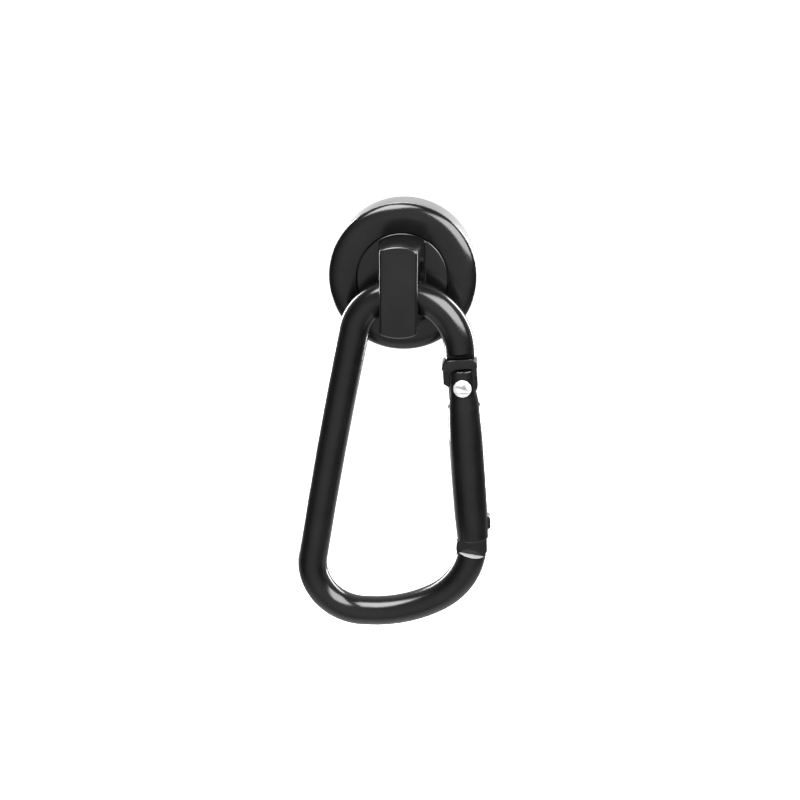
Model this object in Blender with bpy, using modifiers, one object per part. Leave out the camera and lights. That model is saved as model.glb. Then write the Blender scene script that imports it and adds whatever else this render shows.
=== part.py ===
"""Magnetic swivel hanger: a round pot magnet, a swivelling eye and a spring-gate carabiner.

World frame: +Z up, +X right, origin at the centre of the magnet's working face, whose outward
normal is +Y, so the eye points to -Y. Everything is drawn in a working frame (x right, y up,
z = depth out from the working face) that the empty "stand" turns upright.
"""
import math

import bmesh
import bpy
from mathutils import Matrix, Vector

MM = 0.001
GAP = 0.3                      # running gap between neighbouring pieces, mm

# Magnet, mm
MAGNET_R = 16.0
CUP_TOP = 8.6
CUP_FLOOR = 5.3                # depth where the cup's base starts
CUP_BORE_R = 13.6
CUP_HOLE_R = 7.2
DISC_R = 12.0
DISC_TOP = 5.0

# Cap, mm
CAP_BOTTOM = 8.9
CAP_RIM_TOP = 10.75
CAP_FILLET = 1.75
CAP_DISH = 10.4                # height of the face beside the eye
CAP_RECESS_R = 10.0
CAP_RECESS_FLOOR = 8.9
CAP_WEB_UNDER = 7.9
SPIGOT_R = 6.9
SPIGOT_BOTTOM = 5.4
POCKET_R = 5.9
SCREW_CIRCLE_R = 11.6
SCREW_COUNT = 3
SCREW_SHANK_R = 0.8
SCREW_HEAD_R = 1.5
SCREW_HOLE_R = 1.1
SCREW_HEAD_H = 0.9
SCREW_TIP = 9.45
SCREW_HOLE_TOP = 9.75

# Swivelling eye, mm
EYE_R = 9.72
EYE_FRONT = 24.0
FLANGE_BOTTOM = 9.9
FLANGE_TOP = 10.55
EYE_HALF_BASE = 4.75
EYE_HALF_FRONT = 3.85
EYE_HOLE_R = 5.7
EYE_HOLE_RISE = 1.2            # the hole is a slot: its round ends lie this far above and below
STEM_R = 2.9
STEM_BOTTOM = 5.9
GROOVE = (6.1, 7.0)            # retaining clip groove on the stem
GROOVE_R = 2.1
CLIP_R, CLIP_MOUTH = 4.4, 28.0 # retaining clip: outer radius, and half the angle of its opening
CLIP_Z = (6.3, 6.8)
THRUST_Z, THRUST_R = (9.3, 9.65), 9.32
LOWER_Z, LOWER_R = (7.1, 7.3), 5.4
WAVE_R, WAVE_Z, WAVE_THICK, WAVE_RIPPLE = (3.3, 5.2), 7.55, 0.25, 0.08

# Carabiner, mm
ROD_R = 3.3
PLANE = 17.2                   # depth of the carabiner's mid plane
TOP_Y = -1.7                   # height of the rod's centre inside the eye
TOP_R_RIGHT = 12.8
TOP_R_LEFT = 9.9
LEG_LENGTH = 54.0
LEG_LEAN = 11.8                # lean of the long leg where it leaves the top arc, degrees
LEG_LEAN_END = 9.0             # and where it meets the lower corner
LEG_BOW_R = LEG_LENGTH / math.radians(LEG_LEAN - LEG_LEAN_END)
CORNER_R = 11.7
BOTTOM_RUN = 1.6
BOTTOM_R = 30.0
BOTTOM_ANGLE = 30.0
NOSE_R = 15.45
NOSE_ANGLE = 53.0
GATE_LEAN = 5.1                # lean of the gate from the vertical, degrees
RIVET_DROP = 7.9               # from the top arc's end down to the rivet
ARM_END = 6.3                  # the round rod stops this far above the rivet

# Gate and latch, mm, measured along the gate from the rivet (v) and across it (u, outwards)
TANG_HALF = 1.1
SLOT_HALF = 1.4
TANG_IN, TANG_OUT = -4.0, 3.3
TANG_CUT = -3.0                # the tang's inner side below the rivet
HEAD_HALF = 2.75
HEAD_PROUD = 0.12
HEAD_V = (-6.5, -4.0)
GATE_TOP, GATE_END = -3.65, 35.7
SLOT_V = 4.7
CHEEK_IN, CHEEK_OUT = -2.95, 2.3
CAM_R, CAM_PITCH = 2.7, 2.0    # radius below the rivet, and its growth per radian inwards
BORE_R, BORE_END = 1.5, 18.5
PLUNGER_R, PLUNGER_END = 1.2, 8.0
SPRING_MEAN_R, SPRING_WIRE_R, SPRING_TURNS = 0.95, 0.19, 8
RIVET_R, RIVET_HOLE_R, RIVET_HEAD_R = 1.15, 1.45, 1.87
RIVET_SEAT = 3.15              # underside of the rivet's crowned heads, from the mid plane
RIVET_CROWN = [(0.0, 0.5), (1.1, 0.45), (1.65, 0.25), (RIVET_HEAD_R, 0.0), (RIVET_R, 0.0)]
LATCH_V = 29.5
LATCH_FLOOR = -2.2
TONGUE_TOP = 30.2


# ---------- helpers ----------

def clear_scene():
    for obj in list(bpy.data.objects):
        bpy.data.objects.remove(obj, do_unlink=True)


def collection(name):
    made = bpy.data.collections.new(name)
    bpy.context.scene.collection.children.link(made)
    return made


def material(name, colour, roughness, metallic):
    mat = bpy.data.materials.new(name)
    mat.use_nodes = True
    shader = mat.node_tree.nodes["Principled BSDF"]
    shader.inputs["Base Color"].default_value = (*colour, 1.0)
    shader.inputs["Roughness"].default_value = roughness
    shader.inputs["Metallic"].default_value = metallic
    return mat


def add(name, mesh, where, mat=None):
    obj = bpy.data.objects.new(name, mesh)
    where.objects.link(obj)
    obj.parent = stand
    if mat:
        mesh.materials.append(mat)
    if where is cutters:
        obj.hide_render = True
        obj.display_type = "WIRE"
    return obj


def move_origin(obj, point):
    """Puts an object's origin at a point of the working frame, in mm, and leaves its shape where it is."""
    shift = Vector(point) * MM
    obj.data.transform(Matrix.Translation(-shift))
    obj.location = shift


def smooth(obj, angle=35.0):
    obj.data.shade_smooth()
    obj.data.set_sharp_from_angle(angle=math.radians(angle))


def turned(name, profile, where, mat=None, ring=False, steps=48):
    """Turns a profile of (radius, height) points, outer side from top to bottom, about z."""
    bm = bmesh.new()
    verts = [bm.verts.new((r * MM, 0.0, z * MM)) for r, z in profile]
    for a, b in zip(verts, verts[1:]):
        bm.edges.new((a, b))
    if ring:
        bm.edges.new((verts[-1], verts[0]))
    mesh = bpy.data.meshes.new(name)
    bm.to_mesh(mesh)
    bm.free()
    obj = add(name, mesh, where, mat)
    screw = obj.modifiers.new("turn", "SCREW")
    screw.steps = screw.render_steps = steps
    screw.use_merge_vertices = True
    screw.merge_threshold = 0.00001
    screw.use_smooth_shade = True
    return obj


def baked(obj):
    """Replaces an object's mesh with its evaluated one, so that it can be turned, cut or joined."""
    graph = bpy.context.evaluated_depsgraph_get()
    mesh = bpy.data.meshes.new_from_object(obj.evaluated_get(graph))
    bm = bmesh.new()
    bm.from_mesh(mesh)
    bmesh.ops.remove_doubles(bm, verts=bm.verts, dist=0.00001)
    bmesh.ops.recalc_face_normals(bm, faces=bm.faces)
    bm.to_mesh(mesh)
    bm.free()
    name, where = obj.name, obj.users_collection[0]
    bpy.data.objects.remove(obj, do_unlink=True)
    return add(name, mesh, where)


def cylinder(name, radius, low, high, centre=(0.0, 0.0), matrix=None, segments=32, top_radius=None):
    bm = bmesh.new()
    height = high - low
    bmesh.ops.create_cone(bm, cap_ends=True, segments=segments, radius1=radius * MM,
                          radius2=(radius if top_radius is None else top_radius) * MM, depth=height * MM)
    centre_z = (low + high) / 2
    bmesh.ops.translate(bm, verts=bm.verts, vec=Vector((centre[0], centre[1], centre_z)) * MM)
    if matrix:
        bmesh.ops.transform(bm, matrix=matrix, verts=bm.verts)
    mesh = bpy.data.meshes.new(name)
    bm.to_mesh(mesh)
    bm.free()
    return add(name, mesh, cutters)


def plate(name, outline, low, high, matrix=None, bevel=0.0):
    """A flat piece: a closed outline of (x, y) points, filled and thickened from low to high."""
    curve = bpy.data.curves.new(name, "CURVE")
    curve.dimensions = "2D"
    curve.fill_mode = "BOTH"
    curve.extrude = (high - low) / 2 * MM
    spline = curve.splines.new("POLY")
    spline.points.add(len(outline) - 1)
    for point, (x, y) in zip(spline.points, outline):
        point.co = (x * MM, y * MM, 0.0, 1.0)
    spline.use_cyclic_u = True
    drawn = bpy.data.objects.new(name + "_outline", curve)
    cutters.objects.link(drawn)
    graph = bpy.context.evaluated_depsgraph_get()
    mesh = bpy.data.meshes.new_from_object(drawn.evaluated_get(graph))
    bpy.data.objects.remove(drawn, do_unlink=True)
    bm = bmesh.new()
    bm.from_mesh(mesh)
    bmesh.ops.remove_doubles(bm, verts=bm.verts, dist=0.00001)
    bmesh.ops.translate(bm, verts=bm.verts, vec=(0.0, 0.0, (low + high) / 2 * MM))
    if bevel:
        rims = [e for e in bm.edges if not e.is_manifold or e.calc_face_angle(0.0) > 1.0]
        bmesh.ops.bevel(bm, geom=rims, offset=bevel * MM, segments=1, affect="EDGES")
    if matrix:
        bmesh.ops.transform(bm, matrix=matrix, verts=bm.verts)
    bmesh.ops.recalc_face_normals(bm, faces=bm.faces)
    bm.to_mesh(mesh)
    bm.free()
    return add(name, mesh, cutters)


def boolean(obj, operation, *tools):
    for tool in tools:
        mod = obj.modifiers.new(tool.name, "BOOLEAN")
        mod.operation = operation
        mod.object = tool
        mod.solver = "EXACT"


def arc_points(cx, cy, radius, start, stop, count):
    angles = [math.radians(start + (stop - start) * i / count) for i in range(count + 1)]
    return [(cx + radius * math.cos(a), cy + radius * math.sin(a)) for a in angles]


def tube(name, points, radius, rings, merge, mat):
    """A closed round rod along points of the working frame, in mm."""
    curve = bpy.data.curves.new(name, "CURVE")
    curve.dimensions = "3D"
    curve.bevel_depth = radius * MM
    curve.bevel_resolution = rings
    curve.use_fill_caps = True
    spline = curve.splines.new("POLY")
    spline.points.add(len(points) - 1)
    for point, place in zip(spline.points, points):
        point.co = (*(Vector(place) * MM), 1.0)
    drawn = bpy.data.objects.new(name + "_line", curve)
    cutters.objects.link(drawn)
    graph = bpy.context.evaluated_depsgraph_get()
    mesh = bpy.data.meshes.new_from_object(drawn.evaluated_get(graph))
    bpy.data.objects.remove(drawn, do_unlink=True)
    bm = bmesh.new()
    bm.from_mesh(mesh)
    bmesh.ops.remove_doubles(bm, verts=bm.verts, dist=merge)
    bmesh.ops.recalc_face_normals(bm, faces=bm.faces)
    bm.to_mesh(mesh)
    bm.free()
    mesh.materials.clear()
    return add(name, mesh, parts, mat)


# ---------- magnet ----------

def make_cup(mat):
    profile = [(CUP_HOLE_R, CUP_TOP), (MAGNET_R - 0.3, CUP_TOP), (MAGNET_R, CUP_TOP - 0.3),
               (MAGNET_R, 0.4), (MAGNET_R - 0.4, 0.0), (CUP_BORE_R, 0.0),
               (CUP_BORE_R, CUP_FLOOR), (CUP_HOLE_R, CUP_FLOOR)]
    cup = turned("magnet_cup", profile, parts, mat, ring=True, steps=64)
    for number, (x, y) in enumerate(screw_places()):
        hole = cylinder(f"cup_hole_{number}", SCREW_HOLE_R, CUP_FLOOR - 1, CUP_TOP + 1, (x, y), segments=16)
        sink = cylinder(f"cup_sink_{number}", SCREW_HEAD_R + GAP, CUP_FLOOR - 1, CUP_FLOOR + 1.2, (x, y),
                        segments=16)
        boolean(cup, "DIFFERENCE", hole, sink)
    return cup


def make_disc(mat):
    profile = [(0.0, DISC_TOP), (DISC_R - 0.25, DISC_TOP), (DISC_R, DISC_TOP - 0.25), (DISC_R, 0.25),
               (DISC_R - 0.25, 0.0), (0.0, 0.0)]
    return turned("magnet_disc", profile, parts, mat, steps=48)


def make_potting(mat):
    inner, outer = DISC_R + GAP, CUP_BORE_R - GAP
    profile = [(inner, DISC_TOP - 0.5), (outer, DISC_TOP - 0.5), (outer, 0.15), (inner, 0.15)]
    return turned("potting_ring", profile, parts, mat, ring=True, steps=48)


def screw_places():
    turns = [math.radians(90 + 360 * n / SCREW_COUNT) for n in range(SCREW_COUNT)]
    return [(SCREW_CIRCLE_R * math.cos(a), SCREW_CIRCLE_R * math.sin(a)) for a in turns]


def make_cap(mat):
    fillet = arc_points(MAGNET_R - CAP_FILLET, CAP_RIM_TOP - CAP_FILLET, CAP_FILLET, 90, 0, 5)
    profile = [(CAP_RECESS_R, CAP_DISH), *fillet,
               (MAGNET_R - 0.1, CAP_BOTTOM), (SPIGOT_R, CAP_BOTTOM), (SPIGOT_R, SPIGOT_BOTTOM),
               (POCKET_R, SPIGOT_BOTTOM), (POCKET_R, CAP_WEB_UNDER), (STEM_R + GAP, CAP_WEB_UNDER),
               (STEM_R + GAP, CAP_RECESS_FLOOR + 0.15), (CAP_RECESS_R, CAP_RECESS_FLOOR + 0.15)]
    cap = turned("cap", profile, parts, mat, ring=True, steps=64)
    for number, (x, y) in enumerate(screw_places()):
        hole = cylinder(f"cap_hole_{number}", SCREW_HOLE_R, CAP_BOTTOM - 1, SCREW_HOLE_TOP, (x, y), segments=16)
        boolean(cap, "DIFFERENCE", hole)
    return cap


def make_cap_screws(mat):
    """Screws, inside the cup, that hold the cap to it, each with a flat head below and a plain shank."""
    low = CUP_FLOOR + 0.1
    for number, (x, y) in enumerate(screw_places(), start=1):
        profile = [(0.0, SCREW_TIP), (SCREW_SHANK_R, SCREW_TIP), (SCREW_SHANK_R, low + SCREW_HEAD_H),
                   (SCREW_HEAD_R, low + 0.3), (SCREW_HEAD_R, low), (0.0, low)]
        screw = baked(turned(f"cap_screw_{number}", profile, parts, steps=20))
        screw.data.transform(Matrix.Translation(Vector((x, y, 0.0)) * MM))
        screw.data.materials.append(mat)


# ---------- swivel ----------

def ring_piece(name, inner, outer, low, high, mat, steps=32):
    profile = [(inner, high), (outer, high), (outer, low), (inner, low)]
    return turned(name, profile, parts, mat, ring=True, steps=steps)


def make_wave_washer(mat):
    """A thin spring washer whose two faces ripple three times round."""
    bm = bmesh.new()
    steps, (inner, outer), half = 48, WAVE_R, WAVE_THICK / 2
    loops = []
    for step in range(steps):
        turn = 2 * math.pi * step / steps
        rise = WAVE_Z + WAVE_RIPPLE * math.cos(3 * turn)
        corners = ((inner, rise - half), (outer, rise - half), (outer, rise + half), (inner, rise + half))
        across = Vector((math.cos(turn), math.sin(turn), 0.0))
        loops.append([bm.verts.new((across * r + Vector((0.0, 0.0, z))) * MM) for r, z in corners])
    for here, there in zip(loops, loops[1:] + loops[:1]):
        for k in range(4):
            bm.faces.new((here[k], there[k], there[(k + 1) % 4], here[(k + 1) % 4]))
    bmesh.ops.recalc_face_normals(bm, faces=bm.faces)
    mesh = bpy.data.meshes.new("wave_washer")
    bm.to_mesh(mesh)
    bm.free()
    return add("wave_washer", mesh, parts, mat)


def make_clip(mat):
    """An open retaining ring in the stem's groove."""
    inner, start, stop = GROOVE_R + 0.15, CLIP_MOUTH, 360 - CLIP_MOUTH
    outline = arc_points(0, 0, CLIP_R, start, stop, 28) + arc_points(0, 0, inner, stop, start, 24)
    clip = plate("retaining_clip", outline, *CLIP_Z)
    return keep(clip, mat)


def keep(obj, mat):
    """Moves a finished drawing from the cutters to the parts."""
    cutters.objects.unlink(obj)
    parts.objects.link(obj)
    obj.hide_render = False
    obj.display_type = "TEXTURED"
    obj.data.materials.clear()
    obj.data.materials.append(mat)
    return obj


def make_eye(mat):
    profile = [(0.0, EYE_FRONT), (EYE_R - 0.45, EYE_FRONT), (EYE_R, EYE_FRONT - 0.45), (EYE_R, FLANGE_BOTTOM),
               (STEM_R, FLANGE_BOTTOM), (STEM_R, GROOVE[1]), (GROOVE_R, GROOVE[1]), (GROOVE_R, GROOVE[0]),
               (STEM_R, GROOVE[0]), (STEM_R, STEM_BOTTOM), (0.0, STEM_BOTTOM)]
    eye = turned("swivel_eye", profile, parts, mat, steps=64)
    on_edge = Matrix.Rotation(math.radians(90), 4, "X")
    slope = (EYE_HALF_BASE - EYE_HALF_FRONT) / (EYE_FRONT - FLANGE_TOP)
    above = 2.0
    for side in (-1, 1):
        outline = [(side * EYE_HALF_BASE, FLANGE_TOP), (side * 12, FLANGE_TOP), (side * 12, EYE_FRONT + above),
                   (side * (EYE_HALF_FRONT - above * slope), EYE_FRONT + above)]
        boolean(eye, "DIFFERENCE", plate(f"eye_flat_{side + 1}", outline, -12, 12, on_edge))
    boolean(eye, "DIFFERENCE", make_eye_hole())
    return eye


def make_eye_hole():
    """The slot that the carabiner hangs in: it runs along x through the eye."""
    outline = (arc_points(EYE_HOLE_RISE, 0, EYE_HOLE_R, -90, 90, 16)
               + arc_points(-EYE_HOLE_RISE, 0, EYE_HOLE_R, 90, 270, 16))
    along_x = Matrix(((0, 0, 1, 0), (1, 0, 0, 0), (0, 1, 0, PLANE * MM), (0, 0, 0, 1)))
    return plate("eye_hole", outline, -8, 8, along_x)


# ---------- carabiner ----------

def walk(start, heading, moves):
    """Follows straight runs and left-hand arcs: each move is (length,) or (radius, degrees)."""
    x, y = start
    points = [(x, y)]
    for move in moves:
        if len(move) == 1:
            x += move[0] * math.cos(math.radians(heading))
            y += move[0] * math.sin(math.radians(heading))
            points.append((x, y))
            continue
        radius, turn = move
        pieces = max(1, round(turn / 9.0))
        cx = x - radius * math.sin(math.radians(heading))
        cy = y + radius * math.cos(math.radians(heading))
        points += arc_points(cx, cy, radius, heading - 90, heading - 90 + turn, pieces)[1:]
        x, y = points[-1]
        heading += turn
    return points


def rod_route():
    """The rod's centre line from the gate's rivet end, over the top, down the long leg, to the nose."""
    over = walk((0.0, TOP_Y), 180, [(TOP_R_LEFT, 90 - LEG_LEAN), (LEG_BOW_R, LEG_LEAN - LEG_LEAN_END),
                                    (CORNER_R, 90 + LEG_LEAN_END), (BOTTOM_RUN,), (BOTTOM_R, BOTTOM_ANGLE),
                                    (NOSE_R, NOSE_ANGLE)])
    arm = arc_points(0.0, TOP_Y - TOP_R_RIGHT, TOP_R_RIGHT, GATE_LEAN, 90, 10)
    return arm[:-1] + over, arm[0]


def rivet_point():
    """The rivet's centre: down the gate's line from where the top arc ends."""
    _, arm_end = rod_route()
    lean = math.radians(GATE_LEAN)
    return (arm_end[0] + RIVET_DROP * math.sin(lean), arm_end[1] - RIVET_DROP * math.cos(lean))


def gate_matrix():
    """From gate coordinates (u, v, w) to the working frame: v runs down the gate from the rivet."""
    lean = math.radians(GATE_LEAN)
    px, py = rivet_point()
    return Matrix(((math.cos(lean), math.sin(lean), 0, px * MM), (math.sin(lean), -math.cos(lean), 0, py * MM),
                   (0, 0, -1, PLANE * MM), (0, 0, 0, 1)))


ALONG = Matrix(((1, 0, 0, 0), (0, 0, 1, 0), (0, -1, 0, 0), (0, 0, 0, 1)))   # a turned piece's axis onto v


def tang_outline():
    outer = [(CAM_R + (TANG_OUT - CAM_R) * -a / 90, a) for a in range(-90, 0, 15)]
    inner = [(CAM_R + CAM_PITCH * math.radians(a), a) for a in range(0, 57, 8)]
    below = [(-r * math.sin(math.radians(a)), r * math.cos(math.radians(a))) for r, a in outer + inner]
    below = [(max(TANG_CUT, u), v) for u, v in below]
    return [(TANG_OUT, HEAD_V[0] + 1.0), *below, (TANG_CUT, 0.1), (TANG_IN, -0.6), (TANG_IN, HEAD_V[0] + 1.0)]


def tongue_outline():
    return [(-3.6, 41.6), (2.0, 41.6), (2.6, 39.0), (2.9, 34.0), (4.2, 33.4), (4.3, 31.0), (3.6, TONGUE_TOP),
            (-1.2, TONGUE_TOP), (-1.9, TONGUE_TOP + 0.7), (-1.9, 36.0), (-3.7, 36.3), (-4.0, 38.2)]


def make_frame(mat):
    points, arm_end = rod_route()
    lean = math.radians(GATE_LEAN)
    drop = RIVET_DROP - ARM_END
    start = (arm_end[0] + drop * math.sin(lean), arm_end[1] - drop * math.cos(lean))
    frame = tube("carabiner_frame", [(x, y, PLANE) for x, y in [start, *points]], ROD_R, 4, 0.00001, mat)
    to_gate = gate_matrix()
    side_in, side_out = TANG_IN - HEAD_PROUD, TANG_OUT + HEAD_PROUD
    top, under = HEAD_V
    head = [(side_in, under), (side_out, under), (side_out, top + 0.6), (side_out - 0.6, top),
            (side_in + 0.9, top), (side_in, top + 0.9)]
    tang = plate("tang", tang_outline(), -TANG_HALF, TANG_HALF, to_gate)
    boolean(tang, "DIFFERENCE", cylinder("tang_hole", RIVET_HOLE_R, -3, 3, matrix=to_gate, segments=24))
    boolean(frame, "UNION", plate("tang_head", head, -HEAD_HALF, HEAD_HALF, to_gate), tang,
            plate("nose_tongue", tongue_outline(), -TANG_HALF, TANG_HALF, to_gate))
    move_origin(frame, (0.0, TOP_Y, PLANE))
    return frame


def make_gate(mat):
    profile = [(0.0, GATE_END), (3.3, GATE_END), (3.6, GATE_END - 0.3), (3.8, 30.0), (3.85, 22.0), (3.8, 12.0),
               (3.5, 5.0), (3.12, 2.1), (3.05, GATE_TOP + 0.3), (2.75, GATE_TOP), (0.0, GATE_TOP)]
    gate = turned("carabiner_gate", profile, parts, steps=32)
    gate = baked(gate)
    to_gate = gate_matrix()
    gate.data.transform(to_gate @ ALONG)
    gate.data.materials.append(mat)
    cheek_in = [(-9, GATE_TOP - 1), (CHEEK_IN, GATE_TOP - 1), (CHEEK_IN, 0.0), (-4.2, 3.5), (-9, 3.5)]
    cheek_out = [(9, GATE_TOP - 1), (CHEEK_OUT, GATE_TOP - 1), (CHEEK_OUT, 0.0), (4.2, 4.5), (9, 4.5)]
    tang_slot = [(-9, GATE_TOP - 1), (9, GATE_TOP - 1), (9, SLOT_V), (-9, SLOT_V)]
    latch_slot = [(LATCH_FLOOR, LATCH_V), (9, LATCH_V), (9, GATE_END + 1), (LATCH_FLOOR, GATE_END + 1)]
    corner = [(-9, GATE_TOP - 2), (0.2, GATE_TOP - 2), *arc_points(0, 0, 3.7, -80, -160, 6), (-9, -1.2)]
    boolean(gate, "DIFFERENCE",
            plate("gate_tang_slot", tang_slot, -SLOT_HALF, SLOT_HALF, to_gate),
            plate("gate_latch_slot", latch_slot, -SLOT_HALF, SLOT_HALF, to_gate),
            plate("gate_cheek_in", cheek_in, -5, 5, to_gate),
            plate("gate_cheek_out", cheek_out, -5, 5, to_gate),
            plate("gate_corner", corner, -5, 5, to_gate),
            cylinder("gate_rivet_hole", RIVET_HOLE_R, -5, 5, matrix=to_gate, segments=24),
            cylinder("gate_bore", BORE_R, SLOT_V - 1, BORE_END, matrix=to_gate @ ALONG, segments=24))
    move_origin(gate, (*rivet_point(), PLANE))
    return gate


def make_rivet(mat):
    """A peened rivet through the gate's cheeks and the frame's tang."""
    top = [(r, RIVET_SEAT + z) for r, z in RIVET_CROWN]
    rivet = baked(turned("gate_rivet", top + [(r, -z) for r, z in reversed(top)], parts, steps=24))
    rivet.data.transform(gate_matrix())
    rivet.data.materials.append(mat)
    move_origin(rivet, (*rivet_point(), PLANE))
    return rivet


def make_plunger(mat):
    tip = CAM_R + GAP
    nose = [(PLUNGER_R * math.sin(math.radians(a)), tip + PLUNGER_R * (1 - math.cos(math.radians(a))))
            for a in range(90, -1, -18)]
    profile = [(0.0, PLUNGER_END), (PLUNGER_R, PLUNGER_END), *nose]
    profile[-1] = (0.0, tip)
    plunger = baked(turned("gate_plunger", profile, parts, steps=20))
    plunger.data.transform(gate_matrix() @ ALONG)
    plunger.data.materials.append(mat)
    return plunger


def make_spring(mat):
    low, high = PLUNGER_END + GAP + SPRING_WIRE_R, BORE_END - GAP - SPRING_WIRE_R
    count = SPRING_TURNS * 12
    to_gate = gate_matrix()
    places = []
    for step in range(count + 1):
        turn = 2 * math.pi * step / 12
        spot = Vector((SPRING_MEAN_R * math.cos(turn), low + (high - low) * step / count,
                       SPRING_MEAN_R * math.sin(turn))) * MM
        places.append(to_gate @ spot / MM)
    return tube("gate_spring", places, SPRING_WIRE_R, 1, 0.000005, mat)


# ---------- assembly ----------

clear_scene()
parts = collection("magnetic_swivel_hanger")
cutters = collection("cutters")
stand = bpy.data.objects.new("stand", None)
parts.objects.link(stand)
stand.rotation_euler.x = math.radians(90)

nickel = material("nickel", (0.72, 0.72, 0.72), 0.28, 1.0)
magnet = material("magnet", (0.55, 0.56, 0.58), 0.35, 1.0)
resin = material("resin", (0.05, 0.05, 0.05), 0.5, 0.0)
black = material("black_coat", (0.02, 0.02, 0.022), 0.3, 0.0)
steel = material("steel", (0.5, 0.5, 0.5), 0.35, 1.0)
nylon = material("nylon", (0.75, 0.74, 0.7), 0.5, 0.0)
alloy = material("alloy", (0.85, 0.85, 0.86), 0.35, 1.0)

make_cup(nickel)
make_disc(magnet)
make_potting(resin)
make_cap(black)
make_cap_screws(steel)
make_eye(black)
ring_piece("thrust_washer", STEM_R + GAP, THRUST_R, *THRUST_Z, nylon)
ring_piece("lower_washer", STEM_R + GAP, LOWER_R, *LOWER_Z, steel)
make_wave_washer(steel)
make_clip(steel)
make_frame(black)
make_gate(black)
make_rivet(alloy)
make_plunger(steel)
make_spring(steel)
for piece in parts.objects:
    if piece.type == "MESH":
        smooth(piece)
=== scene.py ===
"""Looks of the magnetic swivel hanger: fine meshes, finishes, studio light and the camera."""
import math

import bmesh
import bpy
from mathutils import Matrix, Vector


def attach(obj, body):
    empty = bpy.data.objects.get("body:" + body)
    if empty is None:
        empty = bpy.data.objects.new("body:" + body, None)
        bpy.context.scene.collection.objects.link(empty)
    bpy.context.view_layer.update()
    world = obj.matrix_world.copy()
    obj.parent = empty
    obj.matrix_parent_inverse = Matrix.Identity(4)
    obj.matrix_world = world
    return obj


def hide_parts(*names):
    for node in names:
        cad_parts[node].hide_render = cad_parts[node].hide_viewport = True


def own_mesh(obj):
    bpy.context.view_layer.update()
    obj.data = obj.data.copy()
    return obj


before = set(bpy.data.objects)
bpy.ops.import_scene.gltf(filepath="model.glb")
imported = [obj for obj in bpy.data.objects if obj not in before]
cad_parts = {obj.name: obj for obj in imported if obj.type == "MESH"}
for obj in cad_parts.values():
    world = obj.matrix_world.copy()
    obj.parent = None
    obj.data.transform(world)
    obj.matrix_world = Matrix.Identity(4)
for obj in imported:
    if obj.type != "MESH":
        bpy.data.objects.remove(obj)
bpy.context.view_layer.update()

MM = 0.001
# From the working frame (x right, y up, z out of the working face) to the row frame.
UPRIGHT = Matrix.Rotation(math.radians(90), 4, "X")

# Sizes shared with the CAD model, mm
MAGNET_R, CUP_TOP, CUP_FLOOR, CUP_BORE_R, CUP_HOLE_R = 16.0, 8.6, 5.3, 13.6, 7.2
CAP_BOTTOM, CAP_RIM_TOP, CAP_DISH = 8.9, 10.75, 10.4
CAP_RECESS_FLOOR, CAP_WEB_UNDER = 9.05, 7.9
SPIGOT_R, SPIGOT_BOTTOM, POCKET_R = 6.9, 5.4, 5.9
SCREW_CIRCLE_R, SCREW_COUNT, SCREW_SINK_R, SCREW_HOLE_R, SCREW_HOLE_TOP = 11.6, 3, 1.8, 1.1, 9.75
SCREW_SINK = 1.2
EYE_R, EYE_FRONT, FLANGE_BOTTOM, FLANGE_TOP = 9.72, 24.0, 9.9, 10.55
EYE_HALF_BASE, EYE_HALF_FRONT, EYE_HOLE_R, EYE_HOLE_RISE = 4.75, 3.85, 5.7, 1.2
STEM_R, STEM_GAP, STEM_BOTTOM, GROOVE, GROOVE_R = 2.9, 0.3, 5.9, (6.1, 7.0), 2.1
ROD_R, PLANE, TOP_Y, TOP_R_RIGHT, TOP_R_LEFT = 3.3, 17.2, -1.7, 12.8, 9.9
LEG_LENGTH, LEG_LEAN, LEG_LEAN_END, CORNER_R = 54.0, 11.8, 9.0, 11.7
LEG_BOW_R = LEG_LENGTH / math.radians(LEG_LEAN - LEG_LEAN_END)
BOTTOM_RUN, BOTTOM_R, BOTTOM_ANGLE, NOSE_R, NOSE_ANGLE = 1.6, 30.0, 30.0, 15.45, 53.0
GATE_LEAN, ARM_END, RIVET_DROP = 5.1, 6.3, 7.9
TANG_HALF, SLOT_HALF, TANG_IN, TANG_CUT, TANG_OUT = 1.1, 1.4, -4.0, -3.0, 3.3
HEAD_HALF, HEAD_PROUD, HEAD_UNDER = 2.75, 0.12, -4.0
GATE_TOP, GATE_END, SLOT_V, CHEEK_IN, CHEEK_OUT = -3.65, 35.7, 4.7, -2.95, 2.3
CAM_R, CAM_PITCH, BORE_R, BORE_END = 2.7, 2.0, 1.5, 18.5
RIVET_R, RIVET_HOLE_R, RIVET_HEAD_R, RIVET_FACE = 1.15, 1.45, 1.87, 3.3
LATCH_V, LATCH_FLOOR, TONGUE_TOP = 29.5, -2.2, 30.2
SPRING_MEAN_R, SPRING_WIRE_R, SPRING_TURNS, SPRING_START, SPRING_END = 0.95, 0.19, 8, 8.3, 18.2

# Sizes of the fine meshes alone, mm
CAP_RECESS_R = 9.9
CROWN_R, CROWN_FOOT, CROWN_STEPS = 13.0, 9.0, 16     # the cap's rim is a quarter of an ellipse from here
EYE_CORNER, EYE_ROUND, EYE_ROOT, HOLE_CHAMFER = 0.95, 0.62, 0.35, 0.35
FLANGE_EDGE, BLOCK_INSET = 0.16, 0.1
TANG_TOP, HEAD_TOP, HEAD_CORNER_OUT, HEAD_CORNER_IN = -4.4, -6.15, 1.2, 1.8
HEAD_EDGE, SCOOP_R, SCOOP_DEPTH, SCOOP_FOOT, SCOOP_END = 0.35, 1.35, 1.05, -6.2, -7.55
GATE_CORNER_R, GATE_EDGE, PLATE_EDGE = 3.7, 0.14, 0.2
# The pale face at the rod's nose end: worn coat and a painted highlight in one
WORN_HIGHLIGHT_RADIUS = 3.0

CUT = 5.0                                            # how far a cutter runs past the piece it cuts, mm
WELD = 0.000002                                      # vertices closer than this become one, m

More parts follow.
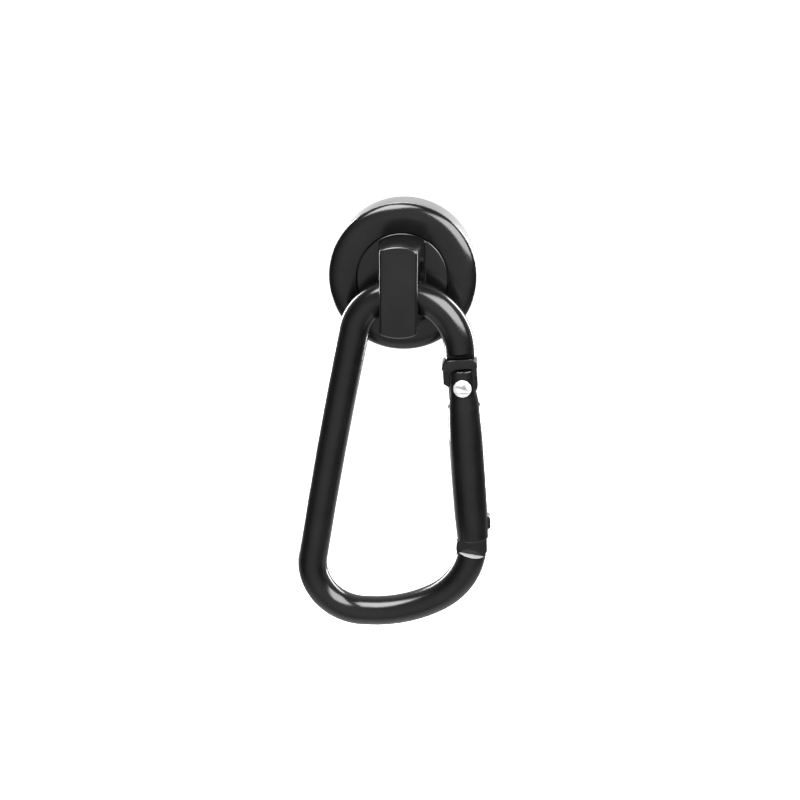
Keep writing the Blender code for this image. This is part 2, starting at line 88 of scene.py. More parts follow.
# Studio
CAMERA_PLACE, CAMERA_LOOK = (0.01459, -0.2565, 0.05643), (-0.00041, -0.0089, -0.02791)
CAMERA_LENS, CAMERA_ROLL = 52.94, 0.3
SOFTBOX_AIM = (0.0, -0.017, -0.02)
SOFTBOXES = [                                        # name, direction, distance, width, height, watts
    ("key", (0.70, -0.50, 0.50), 0.55, 0.48, 0.42, 6.6),
    ("top", (-0.22, -0.28, 0.92), 0.55, 0.36, 0.38, 5.6),
    ("left_rim", (-0.66, 0.72, 0.05), 0.50, 0.10, 0.52, 2.7),
    ("right_rim", (0.66, 0.72, 0.05), 0.50, 0.10, 0.52, 2.7),
]
FLOOR_LEVEL, FLOOR_HALF, FLOOR_GLOW = -0.30, 4.0, 0.9
WORLD_STRENGTH, BACKDROP_STRENGTH = 1.25, 1.05
# Brightness from in front (-1) to behind (1)
WORLD_SHADES = [(-1.0, 0.46), (-0.8, 0.30), (-0.5, 0.06), (0.0, 0.03), (0.3, 0.22), (0.6, 0.5), (1.0, 0.64)]
# From Z, to Z, brightness at the first and at the second: light from below, as a pale floor would return it
WORLD_UNDERSIDE = (-0.5, -0.95, 0.0, 0.8)


# ---------- mesh helpers ----------

def arc_points(cx, cy, radius, start, stop, count):
    angles = [math.radians(start + (stop - start) * i / count) for i in range(count + 1)]
    return [(cx + radius * math.cos(a), cy + radius * math.sin(a)) for a in angles]


def rounded(points, closed=True, steps=5):
    """Rounds the corners of an outline. A point is (x, y), or (x, y, radius)."""
    made = []
    count = len(points)
    for i, point in enumerate(points):
        here = Vector(point[:2])
        if len(point) < 3 or (not closed and i in (0, count - 1)):
            made.append(tuple(here))
            continue
        to_last = (Vector(points[i - 1][:2]) - here).normalized()
        to_next = (Vector(points[(i + 1) % count][:2]) - here).normalized()
        half = to_last.angle(to_next) / 2
        back = point[2] / math.tan(half)
        centre = here + (to_last + to_next).normalized() * (point[2] / math.sin(half))
        first, last = here + to_last * back - centre, here + to_next * back - centre
        sweep = first.angle_signed(last)
        for k in range(steps + 1):
            turn = -sweep * k / steps
            spun = Vector((first.x * math.cos(turn) - first.y * math.sin(turn),
                           first.x * math.sin(turn) + first.y * math.cos(turn)))
            made.append(tuple(centre + spun))
    return made


def new_object(name, mesh):
    obj = bpy.data.objects.new(name, mesh)
    bpy.context.scene.collection.objects.link(obj)
    return obj


def from_bmesh(name, bm, matrix=None):
    if matrix:
        bmesh.ops.transform(bm, matrix=matrix, verts=bm.verts)
    bmesh.ops.recalc_face_normals(bm, faces=bm.faces)
    mesh = bpy.data.meshes.new(name)
    bm.to_mesh(mesh)
    bm.free()
    return new_object(name, mesh)


def apply_all(obj):
    """Turns an object's modifiers, or a curve, into its final mesh."""
    graph = bpy.context.evaluated_depsgraph_get()
    mesh = bpy.data.meshes.new_from_object(obj.evaluated_get(graph))
    name = obj.name
    bpy.data.objects.remove(obj, do_unlink=True)
    bm = bmesh.new()
    bm.from_mesh(mesh)
    bmesh.ops.remove_doubles(bm, verts=bm.verts, dist=WELD)
    bm.to_mesh(mesh)
    bm.free()
    mesh.materials.clear()
    return new_object(name, mesh)


def lathe(name, profile, ring=False, steps=160, matrix=None):
    """Turns a profile of (radius, height) points, outer side from top to bottom, about z."""
    bm = bmesh.new()
    verts = [bm.verts.new((r * MM, 0.0, z * MM)) for r, z in profile]
    edges = [bm.edges.new(pair) for pair in zip(verts, verts[1:])]
    if ring:
        edges.append(bm.edges.new((verts[-1], verts[0])))
    bmesh.ops.spin(bm, geom=verts + edges, cent=(0, 0, 0), axis=(0, 0, 1), angle=2 * math.pi, steps=steps,
                   use_merge=True)
    bmesh.ops.remove_doubles(bm, verts=bm.verts, dist=WELD)
    return from_bmesh(name, bm, matrix)


def plate(name, outline, low, high, matrix=None, bevel=0.0, segments=3):
    """A flat piece: an outline filled and thickened from low to high, its rims rounded by bevel."""
    bm = bmesh.new()
    bottom = bm.faces.new([bm.verts.new((x * MM, y * MM, low * MM)) for x, y in outline])
    made = bmesh.ops.extrude_face_region(bm, geom=[bottom])
    bmesh.ops.translate(bm, vec=(0, 0, (high - low) * MM),
                        verts=[v for v in made["geom"] if isinstance(v, bmesh.types.BMVert)])
    if bevel:
        rims = [e for e in bm.edges if abs(e.verts[0].co.z - e.verts[1].co.z) < 1e-7]
        bmesh.ops.bevel(bm, geom=rims, offset=bevel * MM, segments=segments, profile=0.5, affect="EDGES",
                        clamp_overlap=True)
    return from_bmesh(name, bm, matrix)


def loft(name, outlines, heights, matrix=None):
    """A closed body through outlines with equal numbers of points, one at each height."""
    bm = bmesh.new()
    loops = [[bm.verts.new((x * MM, y * MM, z * MM)) for x, y in outline]
             for outline, z in zip(outlines, heights)]
    for below, above in zip(loops, loops[1:]):
        for k in range(len(below)):
            after = (k + 1) % len(below)
            bm.faces.new((below[k], below[after], above[after], above[k]))
    bm.faces.new(loops[0])
    bm.faces.new(loops[-1])
    return from_bmesh(name, bm, matrix)


def drum(name, radius, low, high, matrix=None, segments=64, centre=(0.0, 0.0)):
    bm = bmesh.new()
    place = Matrix.Translation(Vector((centre[0], centre[1], (low + high) / 2)) * MM)
    bmesh.ops.create_cone(bm, cap_ends=True, segments=segments, radius1=radius * MM, radius2=radius * MM,
                          depth=(high - low) * MM, matrix=place)
    return from_bmesh(name, bm, matrix)


def wire(name, places, radius, resolution):
    """A round rod with closed ends along the places."""
    curve = bpy.data.curves.new(name, "CURVE")
    curve.dimensions = "3D"
    curve.bevel_depth = radius * MM
    curve.bevel_resolution = resolution
    curve.use_fill_caps = True
    spline = curve.splines.new("POLY")
    spline.points.add(len(places) - 1)
    for point, place in zip(spline.points, places):
        point.co = (*(Vector(place) * MM), 1.0)
    return apply_all(new_object(name, curve))


def joined(obj, operation, *tools):
    """Cuts obj with the tools, or joins them to it, and removes them."""
    for tool in tools:
        mod = obj.modifiers.new(tool.name, "BOOLEAN")
        mod.operation = operation
        mod.object = tool
        mod.solver = "EXACT"
    done = apply_all(obj)
    for tool in tools:
        bpy.data.objects.remove(tool, do_unlink=True)
    return done


def edge_bevel(obj, width, segments=3, angle=35.0):
    mod = obj.modifiers.new("edges", "BEVEL")
    mod.width = width * MM
    mod.segments = segments
    mod.limit_method = "ANGLE"
    mod.angle_limit = math.radians(angle)
    mod.use_clamp_overlap = True
    mod.harden_normals = False
    return apply_all(obj)


def finish_piece(obj, body, material, nodes, smooth_angle=32.0):
    obj.data.shade_smooth()
    obj.data.set_sharp_from_angle(angle=math.radians(smooth_angle))
    obj.data.transform(UPRIGHT)
    obj.data.materials.clear()
    obj.data.materials.append(material)
    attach(obj, body)
    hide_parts(*nodes)
    return obj


# ---------- materials ----------

def shader_nodes(name):
    mat = bpy.data.materials.new(name)
    mat.use_nodes = True
    tree = mat.node_tree
    return mat, tree, tree.nodes["Principled BSDF"]


def noise(tree, scale, detail=3.0, roughness=0.5, stretch=None):
    coords = tree.nodes.new("ShaderNodeTexCoord")
    made = tree.nodes.new("ShaderNodeTexNoise")
    made.inputs["Scale"].default_value = scale
    made.inputs["Detail"].default_value = detail
    made.inputs["Roughness"].default_value = roughness
    source = coords.outputs["Object"]
    if stretch:
        mapping = tree.nodes.new("ShaderNodeMapping")
        mapping.inputs["Scale"].default_value = stretch
        tree.links.new(source, mapping.inputs["Vector"])
        source = mapping.outputs["Vector"]
    tree.links.new(source, made.inputs["Vector"])
    return made.outputs["Fac"]


def ramp(tree, value, low, high, start, stop):
    """Maps value between start and stop to between the numbers or colours low and high."""
    made = tree.nodes.new("ShaderNodeValToRGB")
    first, last = made.color_ramp.elements
    first.position, last.position = start, stop
    first.color = (*low, 1.0) if isinstance(low, tuple) else (low, low, low, 1.0)
    last.color = (*high, 1.0) if isinstance(high, tuple) else (high, high, high, 1.0)
    tree.links.new(value, made.inputs["Fac"])
    return made.outputs["Color"]


def bump(tree, shader, height, strength, distance):
    made = tree.nodes.new("ShaderNodeBump")
    made.inputs["Strength"].default_value = strength
    made.inputs["Distance"].default_value = distance
    tree.links.new(height, made.inputs["Height"])
    tree.links.new(made.outputs["Normal"], shader.inputs["Normal"])


def black_coat(name="black_coat", bare_highlight=None):
    """Smooth black coat with a little haze. The second argument, if given, is (centre, normal, radius) of a
    worn face painted pale grey and part metallic: partly worn coat, partly a painted highlight of the light
    from above.
    """
    mat, tree, shader = shader_nodes(name)
    haze = noise(tree, 140.0, 4.0, 0.6)
    colour = ramp(tree, haze, (0.0025, 0.0025, 0.0028), (0.0045, 0.0045, 0.005), 0.3, 0.7)
    rough = ramp(tree, haze, 0.17, 0.21, 0.3, 0.7)
    # A pale grey, part-metallic patch: partly worn coat, partly a painted highlight of the light from above
    if bare_highlight:
        centre, normal, radius = bare_highlight
        mask = worn_highlight_face(tree, centre, normal, radius)
        tree.links.new(calc(tree, "MULTIPLY", mask, 0.3), shader.inputs["Metallic"])
        colour = mixed(tree, mask, colour, (0.5, 0.5, 0.5))
        rough = mixed(tree, mask, rough, (0.5, 0.5, 0.5))
    tree.links.new(colour, shader.inputs["Base Color"])
    tree.links.new(rough, shader.inputs["Roughness"])
    shader.inputs["IOR"].default_value = 1.55
    return mat


def mixed(tree, factor, first, second):
    made = tree.nodes.new("ShaderNodeMix")
    made.data_type = "RGBA"
    tree.links.new(factor, made.inputs["Factor"])
    tree.links.new(first, made.inputs["A"])
    made.inputs["B"].default_value = (*second, 1.0)
    return made.outputs["Result"]


def calc(tree, operation, first, second):
    made = tree.nodes.new("ShaderNodeMath")
    made.operation = operation
    tree.links.new(first, made.inputs[0])
    if isinstance(second, float):
        made.inputs[1].default_value = second
    else:
        tree.links.new(second, made.inputs[1])
    return made.outputs["Value"]


def worn_highlight_face(tree, centre, normal, radius):
    """1 on the faces near centre that look along normal, in the object's own space, and 0 elsewhere: the
    pale face that is worn coat and painted highlight in one.
    """
    coords = tree.nodes.new("ShaderNodeTexCoord")
    away = tree.nodes.new("ShaderNodeVectorMath")
    away.operation = "DISTANCE"
    tree.links.new(coords.outputs["Object"], away.inputs[0])
    away.inputs[1].default_value = centre
    along = tree.nodes.new("ShaderNodeVectorMath")
    along.operation = "DOT_PRODUCT"
    tree.links.new(coords.outputs["Normal"], along.inputs[0])
    along.inputs[1].default_value = normal
    return calc(tree, "MULTIPLY", calc(tree, "LESS_THAN", away.outputs["Value"], radius),
                calc(tree, "GREATER_THAN", along.outputs["Value"], 0.93))


def nickel():
    """Nickel plate: bright, a little cloudy, with fine turning lines round the magnet's axis."""
    mat, tree, shader = shader_nodes("nickel")
    shader.inputs["Metallic"].default_value = 1.0
    cloud = noise(tree, 220.0, 3.0)
    lines = noise(tree, 40.0, 4.0, 0.7, (1.0, 220.0, 1.0))
    colour = ramp(tree, cloud, (0.44, 0.44, 0.445), (0.54, 0.54, 0.54), 0.3, 0.7)
    tree.links.new(colour, shader.inputs["Base Color"])
    tree.links.new(ramp(tree, lines, 0.24, 0.38, 0.3, 0.7), shader.inputs["Roughness"])
    bump(tree, shader, lines, 0.08, 0.0001)
    return mat


def plain_metal(name, low, high, rough_low, rough_high, grain=500.0, depth=0.1):
    mat, tree, shader = shader_nodes(name)
    shader.inputs["Metallic"].default_value = 1.0
    cloud = noise(tree, grain, 4.0, 0.6)
    tree.links.new(ramp(tree, cloud, low, high, 0.3, 0.7), shader.inputs["Base Color"])
    tree.links.new(ramp(tree, cloud, rough_low, rough_high, 0.3, 0.7), shader.inputs["Roughness"])
    bump(tree, shader, noise(tree, grain * 2, 3.0), depth, 0.0002)
    return mat


def peened():
    """Bare rivet heads: pale, matt, and marked by a few dark scratches."""
    mat, tree, shader = shader_nodes("alloy")
    shader.inputs["Metallic"].default_value = 0.35
    marks = noise(tree, 320.0, 2.0, 0.5, (1.0, 1.0, 3.2))
    colour = ramp(tree, marks, (0.22, 0.22, 0.22), (0.64, 0.64, 0.64), 0.40, 0.50)
    tree.links.new(colour, shader.inputs["Base Color"])
    shader.inputs["Roughness"].default_value = 0.45
    bump(tree, shader, noise(tree, 1200.0, 3.0), 0.3, 0.0002)
    return mat


def plastic(name, low, high, rough):
    mat, tree, shader = shader_nodes(name)
    cloud = noise(tree, 400.0, 4.0)
    tree.links.new(ramp(tree, cloud, low, high, 0.3, 0.7), shader.inputs["Base Color"])
    shader.inputs["Roughness"].default_value = rough
    bump(tree, shader, noise(tree, 1500.0, 2.0), 0.1, 0.0002)
    return mat


# ---------- magnet ----------

def screw_places():
    turns = [math.radians(90 + 360 * n / SCREW_COUNT) for n in range(SCREW_COUNT)]
    return [(SCREW_CIRCLE_R * math.cos(a), SCREW_CIRCLE_R * math.sin(a)) for a in turns]


def make_cup(mat):
    profile = rounded([(CUP_HOLE_R, CUP_TOP), (MAGNET_R, CUP_TOP, 0.25), (MAGNET_R, 0.0, 0.4),
                       (CUP_BORE_R, 0.0, 0.15), (CUP_BORE_R, CUP_FLOOR, 0.3), (CUP_HOLE_R, CUP_FLOOR)])
    cup = lathe("cup_body", profile, ring=True)
    tools = []
    for n, spot in enumerate(screw_places()):
        tools += [drum(f"hole_{n}", SCREW_HOLE_R, CUP_FLOOR - 1, CUP_TOP + 1, segments=24, centre=spot),
                  drum(f"sink_{n}", SCREW_SINK_R, CUP_FLOOR - 1, CUP_FLOOR + SCREW_SINK, segments=24,
                       centre=spot)]
    finish_piece(joined(cup, "DIFFERENCE", *tools), "magnet_base", mat, ["magnet_cup"])


def make_cap(mat):
    turns = [math.radians(90 * step / CROWN_STEPS) for step in range(CROWN_STEPS + 1)]
    wide, tall = MAGNET_R - CROWN_R, CAP_RIM_TOP - CROWN_FOOT
    shoulder = [(CROWN_R + wide * math.sin(t), CROWN_FOOT + tall * math.cos(t)) for t in turns]
    profile = rounded([(CAP_RECESS_R, CAP_DISH, 0.15), *shoulder, (MAGNET_R, CAP_BOTTOM, 0.04),
                       (SPIGOT_R, CAP_BOTTOM), (SPIGOT_R, SPIGOT_BOTTOM, 0.2),
                       (POCKET_R, SPIGOT_BOTTOM), (POCKET_R, CAP_WEB_UNDER),
                       (STEM_R + STEM_GAP, CAP_WEB_UNDER), (STEM_R + STEM_GAP, CAP_RECESS_FLOOR),
                       (CAP_RECESS_R, CAP_RECESS_FLOOR)], steps=8)
    cap = lathe("cap_shell", profile, ring=True)
    tools = [drum(f"hole_{n}", SCREW_HOLE_R, CAP_BOTTOM - 1, SCREW_HOLE_TOP, segments=24, centre=spot)
             for n, spot in enumerate(screw_places())]
    finish_piece(joined(cap, "DIFFERENCE", *tools), "magnet_base", mat, ["cap"])


# ---------- eye ----------

def eye_outline(half, radius):
    """Two straight sides joined by arcs of the eye's own radius, with rounded corners."""
    inside = half - EYE_CORNER * 1.35
    across = [inside - 2 * inside * k / 24 for k in range(25)]
    top = [(x, math.sqrt(radius ** 2 - x ** 2)) for x in across]
    corner = math.sqrt(radius ** 2 - half ** 2)
    return rounded([(half, corner, EYE_CORNER), *top, (-half, corner, EYE_CORNER),
                    (-half, -corner, EYE_CORNER), *[(-x, -y) for x, y in top],
                    (half, -corner, EYE_CORNER)], steps=6)


def make_eye(mat):
    profile = rounded([(0.0, FLANGE_TOP), (EYE_R - FLANGE_EDGE, FLANGE_TOP, 0.05),
                       (EYE_R, FLANGE_TOP - FLANGE_EDGE, 0.05),
                       (EYE_R, FLANGE_BOTTOM, 0.1), (STEM_R, FLANGE_BOTTOM), (STEM_R, GROOVE[1]),
                       (GROOVE_R, GROOVE[1]), (GROOVE_R, GROOVE[0]), (STEM_R, GROOVE[0]),
                       (STEM_R, STEM_BOTTOM), (0.0, STEM_BOTTOM)], closed=False)
    flange = lathe("flange", profile, steps=160)
    slope = (EYE_HALF_BASE - EYE_HALF_FRONT) / (EYE_FRONT - FLANGE_TOP)
    levels = [(FLANGE_TOP - 0.3, -EYE_ROOT)]
    for step in range(5):
        turn = math.radians(90 * step / 4)
        rise = EYE_ROOT * (1 - math.cos(turn)) * 0.999 + 0.001
        levels.append((FLANGE_TOP + rise, -EYE_ROOT * (1 - math.sin(turn))))
    for step in range(7):
        turn = math.radians(90 * step / 6)
        levels.append((EYE_FRONT - EYE_ROUND * (1 - math.sin(turn)), EYE_ROUND * (1 - math.cos(turn))))
    outlines = [eye_outline(EYE_HALF_BASE - slope * (z - FLANGE_TOP) - inset,
                            EYE_R - BLOCK_INSET - max(inset, 0.0)) for z, inset in levels]
    block = loft("eye_body", outlines, [z for z, _ in levels])
    hole = (arc_points(EYE_HOLE_RISE, 0, EYE_HOLE_R, -90, 90, 40)
            + arc_points(-EYE_HOLE_RISE, 0, EYE_HOLE_R, 90, 270, 40))
    along_x = Matrix(((0, 0, 1, 0), (1, 0, 0, 0), (0, 1, 0, PLANE * MM), (0, 0, 0, 1)))
    cutter = plate("eye_hole", hole, -8, 8, along_x)
    block = edge_bevel(joined(block, "DIFFERENCE", cutter), HOLE_CHAMFER, 3, 50.0)
    finish_piece(joined(block, "UNION", flange), "swivel", mat, ["swivel_eye"], 25.0)


# ---------- carabiner ----------

def walk(start, heading, moves, step):
    """Follows straight runs and left-hand arcs: each move is (length,) or (radius, degrees)."""
    x, y = start
    points = [(x, y)]
    for move in moves:
        if len(move) == 1:
            x += move[0] * math.cos(math.radians(heading))
            y += move[0] * math.sin(math.radians(heading))
            points.append((x, y))
            continue
        radius, turn = move
        cx = x - radius * math.sin(math.radians(heading))
        cy = y + radius * math.cos(math.radians(heading))
        count = max(4, round(turn / step))
        points += arc_points(cx, cy, radius, heading - 90, heading - 90 + turn, count)[1:]
        x, y = points[-1]
        heading += turn
    return points


def rod_route(step=3.0):
    over = walk((0.0, TOP_Y), 180, [(TOP_R_LEFT, 90 - LEG_LEAN), (LEG_BOW_R, LEG_LEAN - LEG_LEAN_END),
                                    (CORNER_R, 90 + LEG_LEAN_END), (BOTTOM_RUN,), (BOTTOM_R, BOTTOM_ANGLE),
                                    (NOSE_R, NOSE_ANGLE)], step)
    arm = arc_points(0.0, TOP_Y - TOP_R_RIGHT, TOP_R_RIGHT, GATE_LEAN, 90, 28)
    return arm[:-1] + over, arm[0]


def nose_end():
    """Centre and direction of the rod's cut end, in the row frame, in metres."""
    points, _ = rod_route()
    (x0, y0), (x1, y1) = points[-2:]
    way = UPRIGHT @ Vector((x1 - x0, y1 - y0, 0.0)).normalized()
    return UPRIGHT @ (Vector((x1, y1, PLANE)) * MM), way


def rivet_point():
    _, arm_end = rod_route()
    lean = math.radians(GATE_LEAN)
    return (arm_end[0] + RIVET_DROP * math.sin(lean), arm_end[1] - RIVET_DROP * math.cos(lean))


def gate_matrix():
    """From gate coordinates (u outwards, v down the gate from the rivet, w) to the working frame."""
    lean = math.radians(GATE_LEAN)
    px, py = rivet_point()
    return Matrix(((math.cos(lean), math.sin(lean), 0, px * MM),
                   (math.sin(lean), -math.cos(lean), 0, py * MM),
                   (0, 0, -1, PLANE * MM), (0, 0, 0, 1)))


ALONG = Matrix(((1, 0, 0, 0), (0, 0, 1, 0), (0, -1, 0, 0), (0, 0, 0, 1)))


def tang_outline():
    outer = [(CAM_R + (TANG_OUT - CAM_R) * -a / 90, a) for a in range(-90, 0, 6)]
    inner = [(CAM_R + CAM_PITCH * math.radians(a), a) for a in range(0, 51, 3)]
    below = [(-r * math.sin(math.radians(a)), r * math.cos(math.radians(a))) for r, a in outer + inner]
    below = [(max(TANG_CUT, u), v) for u, v in below]
    return rounded([(TANG_OUT, TANG_TOP), *below, (TANG_CUT, 0.1, 0.2), (TANG_IN, -0.6, 0.4),
                    (TANG_IN, TANG_TOP)])


def tongue_outline():
    return rounded([(-3.6, 41.6), (1.6, 41.6), (2.9, 39.0, 0.8), (3.1, 34.0, 0.3), (4.0, 33.4, 0.3),
                    (4.1, 31.0, 0.5), (3.5, TONGUE_TOP, 0.3), (-1.9, TONGUE_TOP, 0.6), (-1.9, 36.0, 0.2),
                    (-3.7, 36.3, 0.4), (-4.0, 38.2, 0.6)])


def make_frame(mat):
    points, arm_end = rod_route()
    lean = math.radians(GATE_LEAN)
    drop = RIVET_DROP - ARM_END
    start = (arm_end[0] + drop * math.sin(lean), arm_end[1] - drop * math.cos(lean))
    rod = wire("carabiner_body", [(x, y, PLANE) for x, y in (start, *points)], ROD_R, 10)
    to_gate = gate_matrix()
    edge_on = Matrix(((0, 0, 1, 0), (1, 0, 0, 0), (0, 1, 0, 0), (0, 0, 0, 1)))
    slopes = []
    for side in (-1, 1):
        face = HEAD_HALF - SCOOP_DEPTH
        foot = arc_points(SCOOP_FOOT, face + SCOOP_R, SCOOP_R, 180, 270, 10)
        wedge = [(v, side * w) for v, w in (*foot, (-3.0, face), (-3.0, 6.0), (SCOOP_END, 6.0))]
        slopes.append(plate(f"slope_{side + 1}", wedge, -6, 6, to_gate @ edge_on))
    rod = joined(rod, "DIFFERENCE", *slopes)
    side_in, side_out = TANG_IN - HEAD_PROUD, TANG_OUT + HEAD_PROUD
    head = rounded([(side_in, HEAD_UNDER, 0.25), (side_out, HEAD_UNDER, 0.25),
                    (side_out, HEAD_TOP, HEAD_CORNER_OUT), (side_in, HEAD_TOP, HEAD_CORNER_IN)])
    half = HEAD_HALF - HEAD_EDGE
    tang = joined(plate("tang", tang_outline(), -TANG_HALF, TANG_HALF, to_gate, PLATE_EDGE, 2), "DIFFERENCE",
                  drum("tang_hole", RIVET_HOLE_R, -3, 3, to_gate, 48))
    rod = joined(rod, "UNION", plate("head", head, -half, half, to_gate, 0.3), tang,
                 plate("tongue", tongue_outline(), -TANG_HALF, TANG_HALF, to_gate, PLATE_EDGE, 2))
    finish_piece(rod, "carabiner", mat, ["carabiner_frame"], 30.0)


def make_gate(mat):
    profile = rounded([(0.0, GATE_END), (3.6, GATE_END, 0.35), (3.8, 30.0, 60.0), (3.85, 22.0, 60.0),
                       (3.8, 12.0, 30.0), (3.5, 5.0, 10.0), (3.12, 2.1, 3.0), (3.05, GATE_TOP, 0.3),
                       (0.0, GATE_TOP)], closed=False)
    to_gate = gate_matrix()
    gate = lathe("gate_body", profile, steps=96, matrix=to_gate @ ALONG)
    cheek_in = [(-9, GATE_TOP - 1), (CHEEK_IN, GATE_TOP - 1), (CHEEK_IN, 0.0), (-4.2, 3.5), (-9, 3.5)]
    cheek_out = [(9, GATE_TOP - 1), (CHEEK_OUT, GATE_TOP - 1), (CHEEK_OUT, 0.0), (4.2, 4.5), (9, 4.5)]
    tang_slot = [(-9, GATE_TOP - 1), (9, GATE_TOP - 1), (9, SLOT_V), (-9, SLOT_V)]
    latch_slot = [(LATCH_FLOOR, LATCH_V), (9, LATCH_V), (9, GATE_END + 1), (LATCH_FLOOR, GATE_END + 1)]
    curve = arc_points(0, 0, GATE_CORNER_R, -80, -160, 24)
    corner = [(-9, GATE_TOP - 2), (0.2, GATE_TOP - 2), *curve, (-9, -1.2)]
    gate = joined(gate, "DIFFERENCE",
                  plate("tang_slot", tang_slot, -SLOT_HALF, SLOT_HALF, to_gate),
                  plate("latch_slot", latch_slot, -SLOT_HALF, SLOT_HALF, to_gate),
                  plate("cheek_in", cheek_in, -CUT, CUT, to_gate),
                  plate("cheek_out", cheek_out, -CUT, CUT, to_gate),
                  plate("corner", corner, -CUT, CUT, to_gate),
                  drum("rivet_hole", RIVET_HOLE_R, -CUT, CUT, to_gate, 48),
                  drum("bore", BORE_R, SLOT_V - 1, BORE_END, to_gate @ ALONG, 32))
    finish_piece(edge_bevel(gate, GATE_EDGE, 2), "gate", mat, ["carabiner_gate"], 28.0)


def make_rivet(mat):
    crown = [(0.0, 0.36), (0.7, 0.34), (1.3, 0.24), (1.75, 0.02), (RIVET_HEAD_R, -0.1), (1.9, -0.15),
             (RIVET_R, -0.15)]
    top = [(r, RIVET_FACE + z) for r, z in crown]
    profile = top + [(r, -z) for r, z in reversed(top)]
    rivet = lathe("rivet", profile, steps=48, matrix=gate_matrix())
    finish_piece(rivet, "gate", mat, ["gate_rivet"], 60.0)


def make_spring(mat):
    """The gate's hidden coil, built at one length. In the gate it shortens towards the bore's end as the
    plunger slides in.
    """
    low, high = SPRING_START + SPRING_WIRE_R, SPRING_END - SPRING_WIRE_R
    count = SPRING_TURNS * 24
    places = []
    for step in range(count + 1):
        turn = 2 * math.pi * SPRING_TURNS * step / count
        places.append((SPRING_MEAN_R * math.cos(turn), low + (high - low) * step / count,
                       SPRING_MEAN_R * math.sin(turn)))
    spring = wire("spring_coil", places, SPRING_WIRE_R, 3)
    along = gate_matrix()
    spring.data.transform(along)
    finish_piece(spring, "gate", mat, ["gate_spring"], 60.0)
    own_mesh(spring)


# ---------- studio ----------

def make_floor():
    bm = bmesh.new()
    bmesh.ops.create_grid(bm, x_segments=2, y_segments=2, size=FLOOR_HALF)
    floor = from_bmesh("studio_floor", bm, Matrix.Translation((0, 0, FLOOR_LEVEL)))
    mat, tree, shader = shader_nodes("pale_floor")
    shader.inputs["Base Color"].default_value = (0.92, 0.92, 0.92, 1.0)
    shader.inputs["Roughness"].default_value = 0.9
    shader.inputs["Emission Color"].default_value = (1.0, 1.0, 1.0, 1.0)
    shader.inputs["Emission Strength"].default_value = FLOOR_GLOW
    floor.data.materials.append(mat)
    floor.visible_glossy = False


def make_world():
    """A white studio: bright behind, dark at the sides and dim in front. The shades run along Y."""
    world = bpy.data.worlds.new("studio")
    bpy.context.scene.world = world
    world.use_nodes = True
    tree = world.node_tree
    tree.nodes.clear()
    coords = tree.nodes.new("ShaderNodeTexCoord")
    parts = tree.nodes.new("ShaderNodeSeparateXYZ")
    tree.links.new(coords.outputs["Generated"], parts.inputs["Vector"])
    remap = tree.nodes.new("ShaderNodeMapRange")
    remap.inputs["From Min"].default_value = -1.0
    remap.inputs["From Max"].default_value = 1.0
    tree.links.new(parts.outputs["Y"], remap.inputs["Value"])
    shade = ramp(tree, remap.outputs["Result"], WORLD_SHADES[0][1], WORLD_SHADES[-1][1], 0.0, 1.0)
    stops = shade.node.color_ramp.elements
    for place, value in WORLD_SHADES[1:-1]:
        stops.new((place + 1.0) / 2.0).color = (value, value, value, 1.0)
    low = tree.nodes.new("ShaderNodeMapRange")
    for socket, value in zip(("From Min", "From Max", "To Min", "To Max"), WORLD_UNDERSIDE):
        low.inputs[socket].default_value = value
    tree.links.new(parts.outputs["Z"], low.inputs["Value"])
    glow = tree.nodes.new("ShaderNodeBackground")
    tree.links.new(calc(tree, "MAXIMUM", shade, low.outputs["Result"]), glow.inputs["Color"])
    glow.inputs["Strength"].default_value = WORLD_STRENGTH
    white = tree.nodes.new("ShaderNodeBackground")
    white.inputs["Color"].default_value = (1.0, 1.0, 1.0, 1.0)
    white.inputs["Strength"].default_value = BACKDROP_STRENGTH
    path = tree.nodes.new("ShaderNodeLightPath")
    mix = tree.nodes.new("ShaderNodeMixShader")
    tree.links.new(path.outputs["Is Camera Ray"], mix.inputs["Fac"])
    tree.links.new(glow.outputs["Background"], mix.inputs[1])
    tree.links.new(white.outputs["Background"], mix.inputs[2])
    out = tree.nodes.new("ShaderNodeOutputWorld")
    tree.links.new(mix.outputs["Shader"], out.inputs["Surface"])


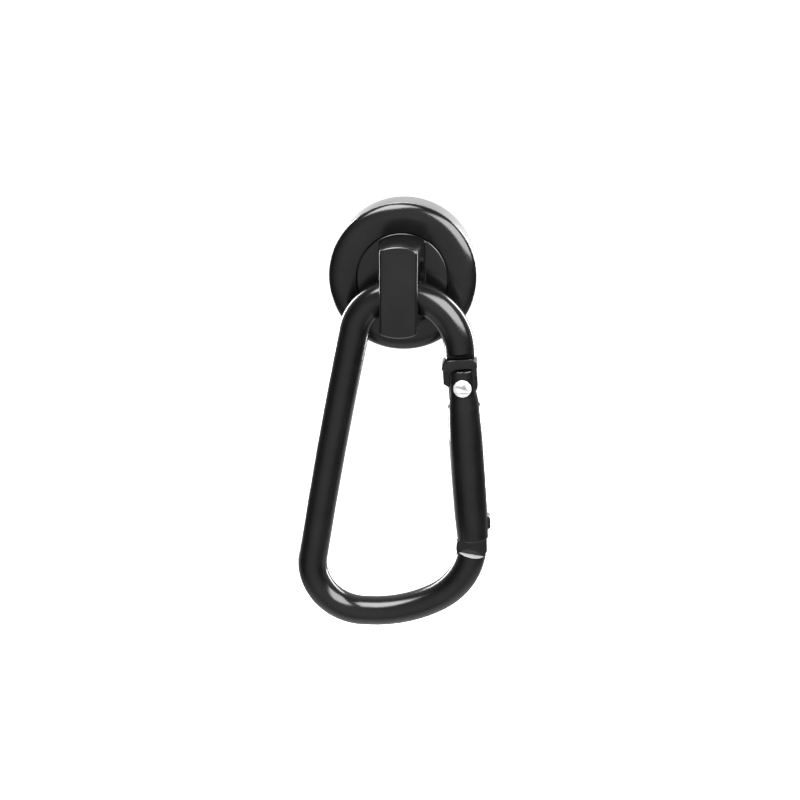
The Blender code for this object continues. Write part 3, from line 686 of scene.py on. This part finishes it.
def softbox(name, direction, distance, width, height, power):
    light = bpy.data.lights.new(name, "AREA")
    light.shape = "RECTANGLE"
    light.size, light.size_y = width, height
    light.energy = power
    lamp = bpy.data.objects.new(name, light)
    bpy.context.scene.collection.objects.link(lamp)
    aim = Vector(SOFTBOX_AIM)
    lamp.location = aim + Vector(direction).normalized() * distance
    lamp.rotation_euler = (aim - lamp.location).to_track_quat("-Z", "Y").to_euler()


def make_camera():
    data = bpy.data.cameras.new("camera")
    data.sensor_width = 36.0
    data.lens = CAMERA_LENS
    data.clip_start = 0.01
    camera = bpy.data.objects.new("camera", data)
    bpy.context.scene.collection.objects.link(camera)
    camera.location = CAMERA_PLACE
    look = Vector(CAMERA_LOOK) - camera.location
    turn = look.to_track_quat("-Z", "Y") @ Matrix.Rotation(math.radians(CAMERA_ROLL), 4, "Z").to_quaternion()
    camera.rotation_euler = turn.to_euler()
    bpy.context.scene.camera = camera


# ---------- scene ----------

BLACK = black_coat()
NOSE_END, NOSE_WAY = nose_end()
# The rod's cut end at the nose gets a pale face: worn coat and a painted highlight of the light from above
WORN_HIGHLIGHT_BLACK = black_coat("worn_highlight_black_coat", (NOSE_END, NOSE_WAY, WORN_HIGHLIGHT_RADIUS * MM))
NICKEL = nickel()
STEEL = plain_metal("steel", (0.42, 0.42, 0.42), (0.58, 0.58, 0.58), 0.25, 0.4)
MAGNET = plain_metal("magnet", (0.15, 0.152, 0.158), (0.20, 0.203, 0.21), 0.42, 0.55, 260.0, 0.15)
ALLOY = peened()
RESIN = plastic("resin", (0.03, 0.03, 0.03), (0.06, 0.06, 0.06), 0.45)
NYLON = plastic("nylon", (0.7, 0.69, 0.65), (0.78, 0.77, 0.73), 0.5)

make_cup(NICKEL)
make_cap(BLACK)
make_eye(BLACK)
make_frame(WORN_HIGHLIGHT_BLACK)
make_gate(BLACK)
make_rivet(ALLOY)
make_spring(STEEL)
KEPT = {"magnet_disc": MAGNET, "potting_ring": RESIN, "thrust_washer": NYLON, "lower_washer": STEEL,
        "wave_washer": STEEL, "retaining_clip": STEEL, "gate_plunger": STEEL,
        "cap_screw_1": STEEL, "cap_screw_2": STEEL, "cap_screw_3": STEEL}
for node, finish in KEPT.items():
    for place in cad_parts[node].material_slots:
        place.material = finish

make_floor()
make_world()
for facts in SOFTBOXES:
    softbox(*facts)
make_camera()
bpy.context.scene.view_settings.view_transform = "Standard"
